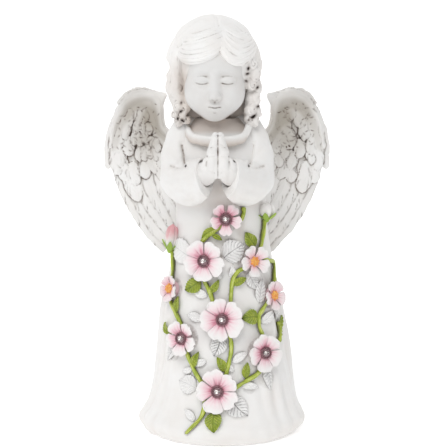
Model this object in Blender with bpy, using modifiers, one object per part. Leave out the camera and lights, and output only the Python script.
"""Solar-lit angel figurine for the garden: a hollow cast-resin robe with separate castings glued on
(head, sleeves, praying hands, wings, flowers, vine sprigs), six lamps in the flower centres, a solar
panel in the back and a battery, a switch and their wiring behind the base plate.

The figure faces -Y, +X is to the right of someone looking at it, and +Z is up. It stands on z = 0.
"""

import math

import bmesh
import bpy
from mathutils import Matrix, Vector

MM = 0.001

# ---- Driving dimensions, in millimetres until MM is applied -------------------------------------
HEIGHT = 250.0
GAP = 0.3  # clearance between two pieces that are glued or laid together
ROBE_X = 3.0  # the robe stands a little to the right of the wings' middle
ROBE_RIM = 1.0  # the feet lift the robe's rim by this much
ROBE_WALL = 4.0
ROBE_SEGMENTS = 36
FOLD_TOP = 42.0  # folds run from the hem up to this height
FOLD_DEPTH = 1.6

# height, half width, half depth, centre x, centre y
ROBE_SECTIONS = (
    (ROBE_RIM, 46.0, 36.0, ROBE_X, 0.0),
    (5.0, 49.0, 38.2, ROBE_X, 0.0),
    (9.0, 50.0, 38.8, ROBE_X, 0.0),
    (16.0, 47.0, 37.0, ROBE_X, 0.0),
    (28.0, 43.5, 34.5, ROBE_X, 0.0),
    (45.0, 40.5, 32.0, ROBE_X, 0.0),
    (62.0, 38.0, 30.5, ROBE_X, 0.0),
    (80.0, 35.2, 28.5, ROBE_X, 0.0),
    (100.0, 30.5, 26.0, ROBE_X, 0.0),
    (118.0, 28.0, 24.0, ROBE_X, 0.0),
    (135.0, 27.0, 22.5, 2.5, 0.0),
    (152.0, 27.0, 21.5, 2.0, 0.5),
    (166.0, 26.5, 20.0, 1.5, 1.0),
    (177.0, 25.0, 18.0, 1.0, 2.0),
    (185.0, 20.0, 15.0, 0.5, 2.5),
    (190.0, 13.0, 11.5, 0.0, 2.0),
)

HEAD_X = -2.0
NECK_Y = 0.5
NECK_RADIUS = 8.7

# name, half sizes, the place as x from the head's middle, y and height, and the turn about Z
HEAD_LUMPS = (
    ("face", (17.5, 18.0, 21.5), (1.0, -8.5, 210.5), 0.0),
    ("nose", (2.0, 3.0, 3.5), (1.0, -25.0, 207.5), 0.0),
    ("fringe_left", (13.0, 5.5, 8.0), (-10.5, -15.5, 229.0), -28.0),
    ("fringe_right", (13.0, 5.5, 8.0), (12.0, -15.5, 228.5), 28.0),
    ("side_left", (9.0, 14.0, 17.0), (-18.6, -2.0, 212.0), 0.0),
    ("side_right", (9.0, 14.0, 17.0), (19.2, -2.0, 211.0), 0.0),
    ("lock_left", (7.5, 8.5, 14.0), (-21.0, 0.0, 196.0), 0.0),
    ("lock_right", (7.5, 8.5, 14.0), (21.5, 0.0, 196.0), 0.0),
    ("curl_left", (5.5, 6.0, 7.0), (-17.5, -8.0, 193.0), 0.0),
    ("curl_right", (5.5, 6.0, 7.0), (19.0, -8.0, 194.0), 0.0),
    ("nape", (19.0, 10.0, 17.0), (0.0, 14.0, 202.0), 0.0),
)

LAMP_RADIUS = 2.5  # a standard 5 mm lamp
LAMP_FLANGE = 2.9
LAMP_LENGTH = 8.7
LAMP_BORE = 2.8  # in the flower
LAMP_HOLE = 3.2  # in the robe, where the flange sits
LAMP_BACK = -2.9  # the flange's back face, measured from the robe's surface

FLOWER_LIFT = 0.5  # the stem's underside above the robe
STEM_RADIUS = 4.2
PETAL_SEGMENTS = 20  # five petals of four steps
# name, x on the robe, height, petal radius, lamp fitted
FLOWERS = (
    ("top", 4.8, 133.5, 8.6, True),
    ("upper_left", -6.6, 109.0, 11.8, True),
    ("upper_right", 20.0, 108.0, 8.8, False),
    ("side_left", -26.0, 90.5, 7.5, False),
    ("side_right", 32.0, 87.0, 8.0, False),
    ("middle", 2.9, 75.5, 11.4, True),
    ("lower_left", -19.0, 63.0, 8.8, True),
    ("lower_right", 26.5, 54.5, 10.0, True),
    ("bottom", 0.4, 33.5, 11.8, True),
)

VINE_RADIUS = 1.2
LEAF_THICKNESS = 0.9
LEAF_LIFT = 1.6
# Each sprig: its stem, then its leaves as (base, tip). All are x on the robe and height.
VINES = {
    "left": (
        (
            (-24.5, 116), (-25, 106), (-24.5, 99), (-20.5, 93), (-20.6, 86), (-24.5, 80), (-22.5, 74.5),
            (-18, 71.5), (-12.8, 67), (-12.4, 60), (-15.5, 53.5), (-13.5, 46), (-10, 40), (-7, 35),
            (-7, 27), (-8, 20), (-12, 14), (-18, 8),
        ),
        (
            ((-22.8, 75), (-25, 84)), ((-13.5, 46), (-10.5, 54)), ((-8, 20), (-1.5, 13)),
            ((-24.3, 81), (-31, 75)),
        ),
    ),
    "upper": (
        ((1.5, 127), (-2, 125.5), (-6, 119)),
        (((-2, 125.5), (3.5, 121.5)),),
    ),
    "middle": (
        ((-6, 102), (-6.5, 97), (-4, 91), (-1, 84)),
        (((-4, 91), (0.5, 98)), ((-6.3, 98), (-14, 89.5))),
    ),
    "cross": (
        ((14, 104.5), (10, 101), (8.5, 94), (7.5, 84)),
        (((8.5, 94), (15.5, 97.5)),),
    ),
    "lower": (
        ((6.5, 68.5), (8, 62), (8, 56), (6.5, 49), (5, 41.5)),
        (((6.5, 49), (-0.5, 53)),),
    ),
    "right": (
        (
            (28, 134), (27.5, 127), (26, 119), (26.5, 112), (28.5, 105), (31, 100), (30, 95),
            (25.5, 90.5), (25.5, 83.5), (25.5, 79), (23.5, 73.5), (24.5, 66), (20.3, 61), (19.2, 54),
            (20.5, 46.5), (19, 40.5), (13.5, 36.5), (8.3, 37),
        ),
        (
            ((26, 119), (19, 125)), ((23.5, 73.5), (15.5, 75)), ((18.5, 40), (19, 49)),
            ((24.4, 67), (31, 71)),
        ),
    ),
    "side": (
        ((36.5, 70), (36, 65), (34.5, 59)),
        (((36, 65), (37.5, 57)),),
    ),
}
# White leaves in relief on the robe, from base to tip.
RELIEF_LEAVES = (
    ((-15, 110), (-24, 112)),
    ((6, 109), (14, 119)),
    ((18, 101), (22, 90)),
    ((-6, 87), (-13, 91)),
    ((-8, 75), (-16, 76)),
    ((1, 64), (-3, 53)),
    ((-22, 54), (-27, 45)),
    ((10, 52), (17, 55)),
    ((-11, 34), (-20, 38)),
    ((13, 33), (23, 32)),
    ((8, 28), (17, 20)),
    ((28, 44), (30, 33)),
)

# height, inner x, outer x, inner y, outer y, half thickness of the left wing
WING_SECTIONS = (
    (104.0, -26.0, -34.0, 28.0, 30.5, 1.6),
    (112.0, -21.0, -41.0, 26.5, 33.0, 3.0),
    (122.0, -17.0, -49.5, 24.0, 35.0, 3.6),
    (135.0, -12.0, -58.0, 21.5, 37.0, 4.2),
    (148.0, -7.0, -64.0, 20.0, 39.0, 4.8),
    (160.0, -5.0, -69.5, 19.0, 40.5, 5.0),
    (172.0, -6.0, -68.5, 19.0, 40.5, 5.0),
    (184.0, -13.0, -65.5, 21.0, 40.0, 4.8),
    (194.0, -25.0, -61.0, 25.5, 38.5, 4.5),
    (202.0, -31.0, -54.5, 28.5, 37.0, 4.0),
    (207.0, -38.0, -47.5, 31.0, 35.0, 2.4),
)
WING_TAB = (5.0, 9.0, 22.0)  # the glued peg: width, depth, height
WING_TAB_AT = (-12.0, 18.5, 160.0)

# x, y, z and radius along the left sleeve: down the upper arm, then in along the forearm to the cuff.
UPPER_ARM = (
    (-16.0, 3.0, 186.5, 3.5),
    (-18.5, 1.5, 181.5, 8.2),
    (-21.0, -1.5, 170.0, 9.8),
    (-21.5, -6.0, 158.0, 10.2),
    (-20.5, -9.0, 149.0, 7.0),
)
FOREARM = (
    (-25.0, -8.5, 158.0, 7.5),
    (-20.5, -14.5, 157.0, 10.8),
    (-14.0, -22.5, 157.5, 11.2),
    (-8.0, -29.0, 158.5, 10.2),
)
CUFF_MOUTH = 7.8
HANDS_X = 0.5

BASE_LOW = 1.4
BASE_PLATE = (41.4, 31.4, 2.5)  # half width, half depth, thickness
BATTERY_RADIUS, BATTERY_LENGTH = 7.25, 50.5  # an AA cell
BAY = (57.0, 16.0, 15.5)  # the battery bay's inside
BAY_X = ROBE_X - 4.5
BAY_WALL = 1.5
DOOR = (68.0, 18.8, 1.2)
DOOR_X = ROBE_X
SCREW_X = DOOR_X + 30.5
SWITCH_AT = (ROBE_X, 20.0)
SWITCH_TRAVEL = 3.0
BOARD = (34.0, 20.0, 1.6)
BOARD_Z = 23.2
FOOT_RADIUS = 5.0
FEET_AT = ((-22.0, -16.0), (28.0, -16.0), (-22.0, 16.0), (28.0, 16.0))

PANEL_AT = (ROBE_X, 35.4, 66.0)  # the middle of the panel's outer face
PANEL_LEAN = math.radians(6.0)
PANEL = (34.0, 42.0)
TRAY_WALL = 1.5
TRAY_DEPTH = 8.0
BEZEL_WALL = 3.0

COLOURS = {
    "resin_white": (0.86, 0.85, 0.83, 0.62, 0.0),
    "petal_pink": (0.90, 0.70, 0.74, 0.5, 0.0),
    "vine_green": (0.33, 0.47, 0.08, 0.5, 0.0),
    "lamp_clear": (0.80, 0.78, 0.80, 0.05, 0.0),
    "plastic_black": (0.03, 0.03, 0.03, 0.5, 0.0),
    "solar_blue": (0.02, 0.03, 0.10, 0.2, 0.0),
    "clear_cover": (0.75, 0.78, 0.80, 0.05, 0.0),
    "board_green": (0.02, 0.20, 0.08, 0.4, 0.0),
    "steel": (0.60, 0.60, 0.60, 0.3, 1.0),
    "cell_wrap": (0.10, 0.30, 0.15, 0.4, 0.0),
    "foam_black": (0.02, 0.02, 0.02, 0.9, 0.0),
    "wire_red": (0.55, 0.03, 0.03, 0.5, 0.0),
}


# ---- Scene and material helpers ------------------------------------------------------------------
def clear_scene():
    for old in list(bpy.data.objects):
        bpy.data.objects.remove(old)


def new_collection(name):
    made = bpy.data.collections.new(name)
    bpy.context.scene.collection.children.link(made)
    return made


def new_material(name, values):
    made = bpy.data.materials.new(name)
    made.use_nodes = True
    shader = made.node_tree.nodes["Principled BSDF"]
    shader.inputs["Base Color"].default_value = (*values[:3], 1.0)
    shader.inputs["Roughness"].default_value = values[3]
    shader.inputs["Metallic"].default_value = values[4]
    return made


def add_object(name, data, material=None):
    """A node of the object, or a cutter where no material is given."""
    made = bpy.data.objects.new(name, data)
    if material:
        PARTS.objects.link(made)
        data.materials.append(MATERIALS[material])
    else:
        CUTTERS.objects.link(made)
        made.hide_render = True
        made.display_type = "WIRE"
    return made


def mesh_object(name, shape, material=None):
    """An object from a bmesh in millimetres."""
    bmesh.ops.scale(shape, vec=(MM, MM, MM), verts=shape.verts)
    bmesh.ops.recalc_face_normals(shape, faces=shape.faces)
    data = bpy.data.meshes.new(name)
    shape.to_mesh(data)
    shape.free()
    return add_object(name, data, material)


def boolean(target, other, operation):
    step = target.modifiers.new(f"{operation.lower()} {other.name}", "BOOLEAN")
    step.object = other
    step.operation = operation
    step.solver = "EXACT"


# ---- Shape helpers, all in millimetres -----------------------------------------------------------
def box(size, at=(0, 0, 0), turn=None):
    shape = bmesh.new()
    bmesh.ops.create_cube(shape, size=1.0)
    bmesh.ops.scale(shape, vec=size, verts=shape.verts)
    place(shape, at, turn)
    return shape


def cylinder(radius, depth, at=(0, 0, 0), turn=None, segments=16):
    shape = bmesh.new()
    bmesh.ops.create_cone(
        shape, cap_ends=True, segments=segments, radius1=radius, radius2=radius, depth=depth
    )
    place(shape, at, turn)
    return shape


def ellipsoid(radii, at=(0, 0, 0), turn=None, around=14, up=9):
    shape = bmesh.new()
    bmesh.ops.create_uvsphere(shape, u_segments=around, v_segments=up, radius=1.0)
    bmesh.ops.scale(shape, vec=radii, verts=shape.verts)
    place(shape, at, turn)
    return shape


def place(shape, at, turn):
    matrix = Matrix.Translation(at) @ (turn.to_4x4() if turn else Matrix.Identity(4))
    bmesh.ops.transform(shape, matrix=matrix, verts=shape.verts)


def loft(rings, closed=False):
    """A solid whose surface runs through the rings in turn. Closed, the last ring joins the first."""
    shape = bmesh.new()
    rows = [[shape.verts.new(p) for p in ring] for ring in rings]
    pairs = list(zip(rows, rows[1:]))
    if closed:
        pairs.append((rows[-1], rows[0]))
    else:
        shape.faces.new(rows[0])
        shape.faces.new(rows[-1])
    for low, high in pairs:
        for i in range(len(low)):
            j = (i + 1) % len(low)
            shape.faces.new((low[i], low[j], high[j], high[i]))
    return shape


def ring(centre, across, along, segments):
    """An ellipse of points about a centre, from its two half axes."""
    turns = (2 * math.pi * i / segments for i in range(segments))
    return [centre + across * math.cos(t) + along * math.sin(t) for t in turns]


def smooth_path(points, per_step):
    """A Catmull-Rom curve through the points, with per_step points on each stretch."""
    points = [Vector(p) for p in points]
    ends = [2 * points[0] - points[1], *points, 2 * points[-1] - points[-2]]
    path = []
    for p0, p1, p2, p3 in zip(ends, ends[1:], ends[2:], ends[3:]):
        for step in range(per_step):
            t = step / per_step
            path.append(
                0.5 * (2 * p1 + (p2 - p0) * t + (2 * p0 - 5 * p1 + 4 * p2 - p3) * t**2 + (3 * p1 - p0 - 3 * p2 + p3) * t**3)
            )
    path.append(points[-1])
    return path


def tube(name, path, radius, material=None, resolution=1):
    """A round wire, stem or cable along a path of points, as a curve object."""
    data = bpy.data.curves.new(name, "CURVE")
    data.dimensions = "3D"
    data.bevel_depth = radius * MM
    data.bevel_resolution = resolution
    data.use_fill_caps = True
    spline = data.splines.new("POLY")
    spline.points.add(len(path) - 1)
    for point, at in zip(spline.points, path):
        point.co = (*(Vector(at) * MM), 1.0)
    return add_object(name, data, material)


def as_mesh(curve_object, material=None):
    """The curve's evaluated shape as a mesh object with its caps welded, in the curve's place."""
    name = curve_object.name
    graph = bpy.context.evaluated_depsgraph_get()
    data = bpy.data.meshes.new_from_object(curve_object.evaluated_get(graph))
    shape = bmesh.new()
    shape.from_mesh(data)
    bmesh.ops.remove_doubles(shape, verts=shape.verts, dist=1e-6)
    shape.to_mesh(data)
    shape.free()
    data.materials.clear()
    place_of_curve = curve_object.matrix_world.copy()
    bpy.data.objects.remove(curve_object)
    made = add_object(name, data, material)
    made.matrix_world = place_of_curve
    return made


def turned(name, profile, material, segments=16):
    """A turned piece about its own Z. The profile runs down the outer side, top to bottom."""
    data = bpy.data.meshes.new(name)
    points = [(x * MM, 0.0, z * MM) for x, z in profile]
    data.from_pydata(points, [(i, i + 1) for i in range(len(points) - 1)], [])
    made = add_object(name, data, material)
    screw = made.modifiers.new("turn", "SCREW")
    screw.steps = segments
    screw.render_steps = segments
    screw.use_merge_vertices = True
    screw.merge_threshold = 1e-6
    return made


# ---- The robe's surface --------------------------------------------------------------------------
def robe_section(height):
    """Half width, half depth, centre x and centre y of the robe at a height."""
    for low, high in zip(ROBE_SECTIONS, ROBE_SECTIONS[1:]):
        if height <= high[0]:
            break
    t = (height - low[0]) / (high[0] - low[0])
    return [a + (b - a) * t for a, b in zip(low[1:], high[1:])]


def fold(angle, height):
    """How far a fold stands out. Folds are deep at the hem and behind, and leave the flowers flat."""
    rise = max(0.0, 1.0 - height / FOLD_TOP)
    sides = 0.5 - 0.5 * math.cos(angle)
    return FOLD_DEPTH * rise * (0.15 + sides) * math.cos(9 * angle + 0.7)


def robe_point(angle, height):
    """A point of the robe's outside. Angle 0 is the front, and it grows towards +X."""
    half_width, half_depth, x, y = robe_section(height)
    out = fold(angle, height)
    return Vector(
        (x + (half_width + out) * math.sin(angle), y - (half_depth + out) * math.cos(angle), height)
    )


def robe_angle(x, height):
    """The angle at which the robe's front has this x."""
    half_width, _, centre, _ = robe_section(height)
    return math.asin(max(-0.97, min(0.97, (x - centre) / half_width)))


def robe_frame(x, height, out=0.0):
    """The place on the robe's front at x and height, and the axes there: right, up the robe, out."""
    angle, step = robe_angle(x, height), 0.5
    right = robe_point(angle + 0.02, height) - robe_point(angle - 0.02, height)
    up = robe_point(angle, height + step) - robe_point(angle, height - step)
    normal = right.cross(up).normalized()
    up = normal.cross(right.normalized())
    turn = Matrix((right.normalized(), up, normal)).transposed()
    return robe_point(angle, height) + normal * out, turn


def robe_solid(grow, low, high, segments=ROBE_SEGMENTS):
    """The robe as one solid from height low to high, grown or shrunk sideways."""
    heights = [low, *(s[0] for s in ROBE_SECTIONS if low + 1 < s[0] < high - 1), high]
    rings = []
    for height in heights:
        half_width, half_depth, x, y = robe_section(min(max(height, ROBE_RIM), 190.0))
        inside = grow < -1.0
        points = []
        for i in range(segments):
            angle = 2 * math.pi * i / segments
            out = grow + (0.0 if inside else fold(angle, max(height, ROBE_RIM)))
            points.append(
                Vector((x + (half_width + out) * math.sin(angle), y - (half_depth + out) * math.cos(angle), height))
            )
        rings.append(points)
    return loft(rings)


def collar_path():
    """The neckline: low at the breast, high at the nape."""
    path = []
    for i in range(20):
        angle = 2 * math.pi * i / 20
        height = 186.5 - 7.0 * math.cos(angle) - 2.2 * math.cos(2 * angle)
        path.append(Vector((1.0 + 19.0 * math.sin(angle), 1.0 - 19.5 * math.cos(angle), height)))
    return path


def collar_solid(radius):
    """The rolled collar as a ring of round sections."""
    path = collar_path()
    middle = sum(path, Vector()) / len(path)
    rings = []
    for i, centre in enumerate(path):
        ahead = (path[(i + 1) % len(path)] - path[i - 1]).normalized()
        across = (centre - middle).cross(ahead).normalized()
        rings.append(ring(centre, ahead.cross(across) * radius, across * radius, 8))
    return loft(rings, closed=True)


# ---- Castings ------------------------------------------------------------------------------------
def leaf_solid(base, tip, lift, width=0.30):
    """A flat leaf on the robe's front, from base to tip."""
    low, _ = robe_frame(*base, lift)
    high, _ = robe_frame(*tip, lift)
    centre, turn = robe_frame((base[0] + tip[0]) / 2, (base[1] + tip[1]) / 2, lift)
    along = (high - low).normalized()
    normal = turn.col[2]
    across = along.cross(normal).normalized()
    normal = across.cross(along)
    length = (high - low).length
    pose = Matrix((across, along, normal)).transposed()
    return ellipsoid((length * width, length * 0.55, LEAF_THICKNESS), centre, pose, around=8, up=6)


def bezel_turn():
    return Matrix.Rotation(PANEL_LEAN, 3, "X")


def bezel_place(depth):
    """A point on the panel's centre line, this far in from its outer face."""
    return Vector(PANEL_AT) + bezel_turn() @ Vector((0.0, -depth, 0.0))


def tray_size():
    return PANEL[0] + 2 * TRAY_WALL, PANEL[1] + 2 * TRAY_WALL


def make_robe():
    robe = mesh_object("robe_casting", robe_solid(0.0, ROBE_RIM, 190.0), "resin_white")
    width, height = tray_size()
    bezel = box(
        (width + 2 * BEZEL_WALL, 16.0, height + 2 * BEZEL_WALL), bezel_place(7.0), bezel_turn()
    )
    boolean(robe, mesh_object("bezel_block", bezel), "UNION")
    boolean(robe, mesh_object("collar_roll", collar_solid(3.2)), "UNION")
    for i, (base, tip) in enumerate(RELIEF_LEAVES):
        leaf = mesh_object(f"relief_leaf_{i + 1}", leaf_solid(base, tip, 0.4))
        boolean(robe, leaf, "UNION")
    cutters = [
        ("robe_inside", robe_solid(-ROBE_WALL, -4.0, 185.0, 26)),
        ("neck_hole", cylinder(NECK_RADIUS + GAP, 30.0, (HEAD_X, NECK_Y, 190.0), segments=24)),
        ("panel_window", box((width + 2 * GAP, 40.0, height + 2 * GAP), bezel_place(10.0), bezel_turn())),
    ]
    for name, x, z, _, lamp in FLOWERS:
        if lamp:
            at, turn = robe_frame(x, z)
            cutters.append((f"lamp_hole_{name}", cylinder(LAMP_HOLE, 24.0, at, turn, segments=12)))
    for side, sign in (("left", 1), ("right", -1)):
        size = [s + 2 * GAP for s in WING_TAB]
        at = (sign * WING_TAB_AT[0], WING_TAB_AT[1], WING_TAB_AT[2])
        cutters.append((f"wing_slot_{side}", box(size, at)))
    for name, shape in cutters:
        boolean(robe, mesh_object(name, shape), "DIFFERENCE")


def sleeve_half(stations, sign, grow):
    """One straight run of a sleeve, flattened a little across the arm."""
    start, end = (Vector(stations[i][:3]) for i in (0, -1))
    ahead = (end - start).normalized()
    across = ahead.cross((0.0, 0.0, 1.0)) if abs(ahead.z) < 0.7 else Vector((1.0, 0.0, 0.0))
    across = (across - ahead * across.dot(ahead)).normalized()
    along = ahead.cross(across)
    mirror = Vector((sign, 1.0, 1.0))
    rings = []
    for x, y, z, radius in stations:
        reach = radius + grow
        centre = Vector((x, y, z)) - ahead * (grow if (x, y, z) == stations[0][:3] else 0.0)
        points = ring(centre, across * reach * 0.88, along * reach, 16)
        rings.append([point * mirror for point in points])
    return loft(rings)


def sleeve_object(name, sign, grow, material=None):
    sleeve = mesh_object(name, sleeve_half(FOREARM, sign, grow), material)
    boolean(sleeve, mesh_object(f"{name}_upper", sleeve_half(UPPER_ARM, sign, grow)), "UNION")
    return sleeve


def make_sleeve(side, sign):
    sleeve = sleeve_object(f"sleeve_{side}", sign, 0.0, "resin_white")
    start, end = (Vector(FOREARM[i][:3]) for i in (0, -1))
    ahead = (end - start).normalized()
    ahead.x, end.x = sign * ahead.x, sign * end.x
    turn = ahead.to_track_quat("Z", "Y").to_matrix()
    mouth = cylinder(CUFF_MOUTH, 18.0, end, turn)
    boolean(sleeve, CUTTER["robe"], "DIFFERENCE")
    boolean(sleeve, CUTTER["collar"], "DIFFERENCE")
    boolean(sleeve, mesh_object(f"cuff_mouth_{side}", mouth), "DIFFERENCE")


def make_hands():
    """Both palms pressed together, fingers up, with a wrist into each cuff."""
    stations = (  # y, z, half thickness of one hand, half width front to back
        (-33.5, 150.5, 1.4, 2.6),
        (-34.5, 154.0, 3.0, 5.6),
        (-35.0, 162.0, 3.7, 7.0),
        (-35.0, 170.0, 3.2, 6.6),
        (-34.0, 178.0, 2.5, 5.4),
        (-32.8, 184.0, 1.1, 2.4),
    )
    palms = []
    for side, sign in (("left", -1), ("right", 1)):
        rings = [
            ring(Vector((HANDS_X + sign * (thick - 0.35), y, z)), Vector((thick, 0, 0)), Vector((0, deep, 0)), 14)
            for y, z, thick, deep in stations
        ]
        material = "resin_white" if sign < 0 else None
        name = "praying_hands" if sign < 0 else "right_palm"
        palms.append(mesh_object(name, loft(rings), material))
    hands = palms[0]
    boolean(hands, palms[1], "UNION")
    for side, sign in (("left", -1), ("right", 1)):
        rings = []
        for x, y, z, radius in ((3.3, -32.6, 157.0, 3.7), (5.5, -30.4, 157.6, 4.5), (8.5, -27.6, 158.2, 4.6)):
            across = Vector((sign * -0.62, 0.76, 0.0))
            centre = Vector((HANDS_X + sign * x, y, z))
            rings.append(ring(centre, across * radius, Vector((0, 0, radius)), 12))
        boolean(hands, mesh_object(f"wrist_{side}", loft(rings)), "UNION")
        thumb = ellipsoid((1.9, 2.2, 5.5), (HANDS_X + sign * 5.0, -38.0, 167.0), around=10, up=7)
        boolean(hands, mesh_object(f"thumb_{side}", thumb), "UNION")


def make_head():
    """Face, hair and locks as one casting, with a neck that plugs into the robe."""
    head = mesh_object(
        "head_casting", ellipsoid((25.5, 26.0, 27.5), (HEAD_X, 2.5, 222.5), around=20, up=12), "resin_white"
    )
    for name, radii, (x, y, z), yaw in HEAD_LUMPS:
        turn = Matrix.Rotation(math.radians(yaw), 3, "Z")
        lump = ellipsoid(radii, (HEAD_X + x, y, z), turn, around=12, up=8)
        boolean(head, mesh_object(f"{name}_lump", lump), "UNION")
    for cutter in ("robe", "collar", "sleeve_left", "sleeve_right", "wing_left", "wing_right"):
        boolean(head, CUTTER[cutter], "DIFFERENCE")
    neck = cylinder(NECK_RADIUS, 25.0, (HEAD_X, NECK_Y, 194.5), segments=24)
    boolean(head, mesh_object("neck_spigot", neck), "UNION")


def wing_rings(sign, grow):
    rings = []
    for height, inner_x, outer_x, inner_y, outer_y, thick in WING_SECTIONS:
        inner, outer = Vector((sign * inner_x, inner_y, height)), Vector((sign * outer_x, outer_y, height))
        across = (outer - inner) / 2
        square = Vector((across.y, -across.x, 0.0)).normalized()
        across += across.normalized() * grow
        rings.append(ring((inner + outer) / 2, across, square * (thick + grow), 20))
    return rings


def make_wing(side, sign):
    wing = mesh_object(f"wing_{side}", loft(wing_rings(sign, 0.0)), "resin_white")
    boolean(wing, CUTTER["robe"], "DIFFERENCE")
    at = (sign * WING_TAB_AT[0], WING_TAB_AT[1], WING_TAB_AT[2])
    boolean(wing, mesh_object(f"wing_tab_{side}", box(WING_TAB, at)), "UNION")


def petal_edge(radius, turn):
    """The outline of five petals: full in the middle of each, notched between them."""
    return radius * (0.74 + 0.26 * abs(math.cos(2.5 * turn)) ** 0.6)


def make_flower(name, x, z, radius, lamp):
    """A cupped flower on a short stem. A lamp's flower is bored through, the others have a boss."""
    at, turn = robe_frame(x, z)
    low = FLOWER_LIFT
    profile = [(STEM_RADIUS, low), (STEM_RADIUS, low + 2.2), (None, low + 4.2), (None, low + 5.3)]
    if lamp:
        profile = [(LAMP_BORE, low), *profile, (LAMP_BORE + 0.4, low + 3.6)]
    else:
        profile = [*profile, (2.6, low + 3.6), (1.5, low + 4.9)]
    rings = []
    for reach, height in profile:
        row = []
        for i in range(PETAL_SEGMENTS):
            t = 2 * math.pi * i / PETAL_SEGMENTS
            r = petal_edge(radius, t) if reach is None else reach
            row.append(Vector((r * math.sin(t), r * math.cos(t), height)))
        rings.append(row)
    shape = loft(rings, closed=lamp)
    place(shape, at, turn)
    mesh_object(f"flower_{name}", shape, "petal_pink")


def make_lamp(name, x, z):
    """A 5 mm lamp from behind: its flange sits inside the wall and its dome in the flower."""
    at, turn = robe_frame(x, z, LAMP_BACK)
    shoulder = LAMP_LENGTH - LAMP_RADIUS
    dome = [
        (LAMP_RADIUS * math.sin(t), shoulder + LAMP_RADIUS * math.cos(t))
        for t in (math.pi / 2 * i / 4 for i in range(5))
    ]
    dome[0] = (0.0, LAMP_LENGTH)
    profile = [*dome, (LAMP_RADIUS, 1.0), (LAMP_FLANGE, 1.0), (LAMP_FLANGE, 0.0), (0.0, 0.0)]
    lamp = turned(f"lamp_{name}", profile, "lamp_clear", 12)
    lamp.matrix_world = Matrix.Translation(at * MM) @ turn.to_4x4()


def make_bud(name, x, z, length, radius, out):
    at, turn = robe_frame(x, z, out)
    profile = (
        (0.0, length),
        (radius * 0.45, length * 0.9),
        (radius * 0.9, length * 0.6),
        (radius, length * 0.35),
        (radius * 0.6, length * 0.1),
        (0.0, 0.0),
    )
    bud = turned(f"bud_{name}", profile, "petal_pink", 10)
    stand_up = turn @ Matrix.Rotation(-math.pi / 2, 3, "X")
    bud.matrix_world = Matrix.Translation(at * MM) @ stand_up.to_4x4()


def make_vine(name, stem, leaves):
    path = []
    for x, z, _ in smooth_path([(x, z, 0) for x, z in stem], 2):
        at, _ = robe_frame(x, z, GAP + 0.3 + VINE_RADIUS)
        path.append(at)
    vine = as_mesh(tube(f"vine_{name}", path, VINE_RADIUS), "vine_green")
    for i, (base, tip) in enumerate(leaves):
        leaf = leaf_solid(base, tip, LEAF_LIFT + 0.3, 0.26)
        boolean(vine, mesh_object(f"leaf_{name}_{i + 1}", leaf), "UNION")


# ---- Base, battery and switch --------------------------------------------------------------------
def oval_plate(half_width, half_depth, thickness, low, segments=36):
    across, along = Vector((half_width, 0, 0)), Vector((0, half_depth, 0))
    return loft([ring(Vector((ROBE_X, 0, z)), across, along, segments) for z in (low, low + thickness)])


def make_base_plate():
    half_width, half_depth, thickness = BASE_PLATE
    top = BASE_LOW + thickness
    plate = mesh_object(
        "base_plate", oval_plate(half_width, half_depth, thickness, BASE_LOW), "plastic_black"
    )
    boss = cylinder(3.2, 6.0, (SCREW_X, 0, top + 2.5), segments=16)
    boolean(plate, mesh_object("screw_boss", boss), "UNION")
    seat_depth = DOOR[2] + GAP
    cutters = (
        ("bay_opening", box((BAY[0], BAY[1], 20.0), (BAY_X, 0, 0))),
        ("door_seat", box((DOOR[0] + 2 * GAP, DOOR[1] + 2 * GAP, 2 * seat_depth), (DOOR_X, 0, BASE_LOW))),
        ("screw_hole", cylinder(1.5, 30.0, (SCREW_X, 0, 0), segments=12)),
        ("switch_slot", box((8.0, 4.0, 20.0), (*SWITCH_AT, 0))),
    )
    for name, shape in cutters:
        boolean(plate, mesh_object(name, shape), "DIFFERENCE")


def make_battery_door():
    door = mesh_object(
        "battery_door", box(DOOR, (DOOR_X, 0, BASE_LOW + DOOR[2] / 2)), "plastic_black"
    )
    boolean(door, mesh_object("door_screw_hole", cylinder(1.5, 9.0, (SCREW_X, 0, 0), segments=12)), "DIFFERENCE")
    head_seat = cylinder(2.7, 1.4, (SCREW_X, 0, BASE_LOW), segments=16)
    boolean(door, mesh_object("screw_head_seat", head_seat), "DIFFERENCE")
    screw = turned(
        "door_screw", ((0.0, 0.0), (2.4, 0.0), (2.4, -0.6), (1.9, -0.9), (0.0, -0.9)), "steel", 14
    )
    screw.location = Vector((SCREW_X, 0, BASE_LOW + 0.4)) * MM
    shank = mesh_object("screw_shank", cylinder(1.15, 6.0, (0, 0, 2.9), segments=10))
    shank.location = screw.location
    boolean(screw, shank, "UNION")


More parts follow.
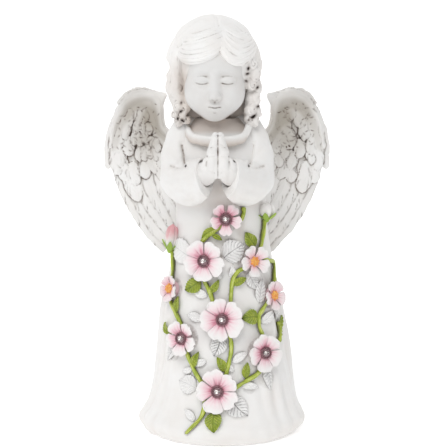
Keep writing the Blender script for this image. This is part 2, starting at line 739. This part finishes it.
def make_battery_bay():
    low = BASE_LOW + BASE_PLATE[2] + GAP
    size = (BAY[0] + 2 * BAY_WALL, BAY[1] + 2 * BAY_WALL, BAY[2] + BAY_WALL)
    holder = mesh_object("battery_holder", box(size, (BAY_X, 0, low + size[2] / 2)), "plastic_black")
    top = low + size[2]
    for i, x in enumerate((-12.0, 12.0)):
        post = box((3.0, 14.0, 4.0), (BAY_X + x, 0, BOARD_Z - GAP - 2.0))
        boolean(holder, mesh_object(f"board_post_{i + 1}", post), "UNION")
    inside = box(BAY, (BAY_X, 0, low + BAY[2] / 2 - 0.01))
    boolean(holder, mesh_object("bay_inside", inside), "DIFFERENCE")
    middle = low + BAY[2] / 2
    right_end = BAY_X + BAY[0] / 2
    contact = box((0.4, 9.0, 9.0), (right_end - GAP - 0.2, 0, middle))
    mesh_object("contact_plate", contact, "steel")
    tip = right_end - 2 * GAP - 0.4
    profile = (
        (0.0, BATTERY_LENGTH),
        (2.7, BATTERY_LENGTH),
        (2.7, BATTERY_LENGTH - 1.4),
        (BATTERY_RADIUS, BATTERY_LENGTH - 1.6),
        (BATTERY_RADIUS, 0.4),
        (BATTERY_RADIUS - 0.4, 0.0),
        (0.0, 0.0),
    )
    cell = turned("battery_cell", profile, "cell_wrap", 20)
    cell.matrix_world = Matrix.Translation(
        Vector((tip - BATTERY_LENGTH, 0, middle)) * MM
    ) @ Matrix.Rotation(math.pi / 2, 4, "Y")
    make_spring(BAY_X - BAY[0] / 2 + GAP, tip - BATTERY_LENGTH - GAP, middle)
    return top


def make_spring(start, end, middle):
    """The conical contact spring behind the cell."""
    wire, turns, steps = 0.35, 3.0, 10
    count = int(turns * steps)
    path = []
    for i in range(count + 1):
        share = i / count
        radius = 5.0 - 2.4 * share
        t = 2 * math.pi * turns * share
        x = start + wire + (end - start - 2 * wire) * share
        path.append(Vector((x, radius * math.cos(t), middle + radius * math.sin(t))))
    tube("battery_spring", path, wire, "steel")


def make_switch():
    x, y = SWITCH_AT
    low = BASE_LOW + BASE_PLATE[2] + GAP
    body = mesh_object("switch_body", box((13.0, 7.0, 6.0), (x, y, low + 3.0)), "plastic_black")
    pocket = box((SWITCH_TRAVEL + 3.8, 3.4, 6.0), (x, y, low))
    boolean(body, mesh_object("switch_pocket", pocket), "DIFFERENCE")
    start = x - SWITCH_TRAVEL / 2
    slider = mesh_object("switch_slider", box((3.0, 2.8, 5.0), (start, y, BASE_LOW + 2.8)), "plastic_black")
    for i in range(2):
        groove = box((0.5, 4.0, 0.8), (start - 0.6 + 1.2 * i, y, BASE_LOW + 0.3))
        boolean(slider, mesh_object(f"slider_groove_{i + 1}", groove), "DIFFERENCE")


def make_board():
    board = mesh_object("circuit_board", box(BOARD, (BAY_X, 0, BOARD_Z + BOARD[2] / 2)), "board_green")
    chips = (("driver", (6.0, 5.0, 2.4), -9.0, 3.0), ("coil", (5.0, 5.0, 4.0), 8.0, 3.0))
    for name, size, x, y in chips:
        at = (BAY_X + x, y, BOARD_Z + BOARD[2] + size[2] / 2 - 0.3)
        boolean(board, mesh_object(f"{name}_chip", box(size, at)), "UNION")


def make_feet():
    for i, (x, y) in enumerate(FEET_AT):
        height = BASE_LOW - 0.2
        mesh_object(
            f"foot_{i + 1}", cylinder(FOOT_RADIUS, height, (x, y, height / 2), segments=20), "foam_black"
        )


def make_panel():
    width, height = tray_size()
    turn = bezel_turn()
    tray = mesh_object(
        "solar_tray", box((width, TRAY_DEPTH, height), bezel_place(TRAY_DEPTH / 2), turn), "plastic_black"
    )
    recess = TRAY_DEPTH - TRAY_WALL
    pocket = box((PANEL[0], 2 * recess, PANEL[1]), bezel_place(0.0), turn)
    boolean(tray, mesh_object("tray_pocket", pocket), "DIFFERENCE")
    hole = cylinder(1.6, 20.0, bezel_place(TRAY_DEPTH), turn @ Matrix.Rotation(math.pi / 2, 3, "X"), segments=10)
    boolean(tray, mesh_object("tray_cable_hole", hole), "DIFFERENCE")
    plate = (PANEL[0] - 2 * GAP, PANEL[1] - 2 * GAP)
    mesh_object("solar_cell", box((plate[0], 1.2, plate[1]), bezel_place(2.6), turn), "solar_blue")
    mesh_object("panel_cover", box((plate[0], 1.4, plate[1]), bezel_place(0.9), turn), "clear_cover")


def make_leads():
    """Every wire inside: one pair to each lamp, and those of the panel, the battery and the switch."""
    board_top = BOARD_Z + BOARD[2] + GAP + 0.7
    lamps = sorted((f for f in FLOWERS if f[4]), key=lambda flower: flower[1])
    for i, (name, x, z, _, _) in enumerate(lamps):
        start, turn = robe_frame(x, z, LAMP_BACK - GAP)
        inward = start - turn.col[2] * 7.0
        lane = Vector((BAY_X - 13.0 + 5.2 * i, -6.0, board_top))
        knee = lane + Vector((0.0, 0.0, max(z - 12.0, 33.0) - board_top))
        path = [*smooth_path([start, inward, knee], 4), lane]
        tube(f"lamp_lead_{name}", path, 0.7, "wire_red")
    lane = Vector((BAY_X, 8.0, board_top))
    path = [bezel_place(3.9), bezel_place(8.0), bezel_place(11.0), lane + Vector((0, 4, 14)), lane]
    tube("panel_lead", smooth_path(path, 3), 0.7, "wire_red")
    side_z = BOARD_Z + 0.9
    for name, side in (("plus", 1), ("minus", -1)):
        points = ((32.2, 12.0), (32.2, 18.0), (29.5, side_z), (BOARD[0] / 2 + 1.0, side_z))
        path = [Vector((BAY_X + side * x, 0, z)) for x, z in points]
        tube(f"battery_lead_{name}", smooth_path(path, 3), 0.6, "wire_red")
    x, y = SWITCH_AT
    start = Vector((x + 3.0, y - 1.0, BASE_LOW + BASE_PLATE[2] + 2 * GAP + 6.0 + 0.7))
    end = Vector((BAY_X + 10.0, BOARD[1] / 2 + 1.0, BOARD_Z + 0.8))
    path = smooth_path([start, start + Vector((0, 0, 6)), end], 3)
    tube("switch_lead", path, 0.6, "wire_red")


# ---- Everything ----------------------------------------------------------------------------------
def make_cutters():
    """Slightly grown copies of the large castings, which cut their neighbours."""
    CUTTER["robe"] = mesh_object("robe_clearance", robe_solid(GAP, ROBE_RIM - 1, 190.0 + GAP))
    CUTTER["collar"] = mesh_object("collar_clearance", collar_solid(3.2 + GAP))
    for side, sign in (("left", 1), ("right", -1)):
        CUTTER[f"sleeve_{side}"] = sleeve_object(f"sleeve_clearance_{side}", sign, GAP)
        CUTTER[f"wing_{side}"] = mesh_object(f"wing_clearance_{side}", loft(wing_rings(sign, GAP)))


def main():
    make_cutters()
    make_robe()
    for side, sign in (("left", 1), ("right", -1)):
        make_sleeve(side, sign)
        make_wing(side, sign)
    make_hands()
    make_head()
    for name, x, z, radius, lamp in FLOWERS:
        make_flower(name, x, z, radius, lamp)
        if lamp:
            make_lamp(name, x, z)
    make_bud("left", -23.5, 118.0, 13.0, 3.4, 4.2)
    make_bud("right", 27.5, 135.5, 7.0, 3.0, 3.8)
    for name, (stem, leaves) in VINES.items():
        make_vine(name, stem, leaves)
    make_base_plate()
    make_battery_door()
    make_battery_bay()
    make_switch()
    make_board()
    make_feet()
    make_panel()
    make_leads()


clear_scene()
PARTS = new_collection("angel_figurine")
CUTTERS = new_collection("cutters")
MATERIALS = {name: new_material(name, values) for name, values in COLOURS.items()}
CUTTER = {}
main()
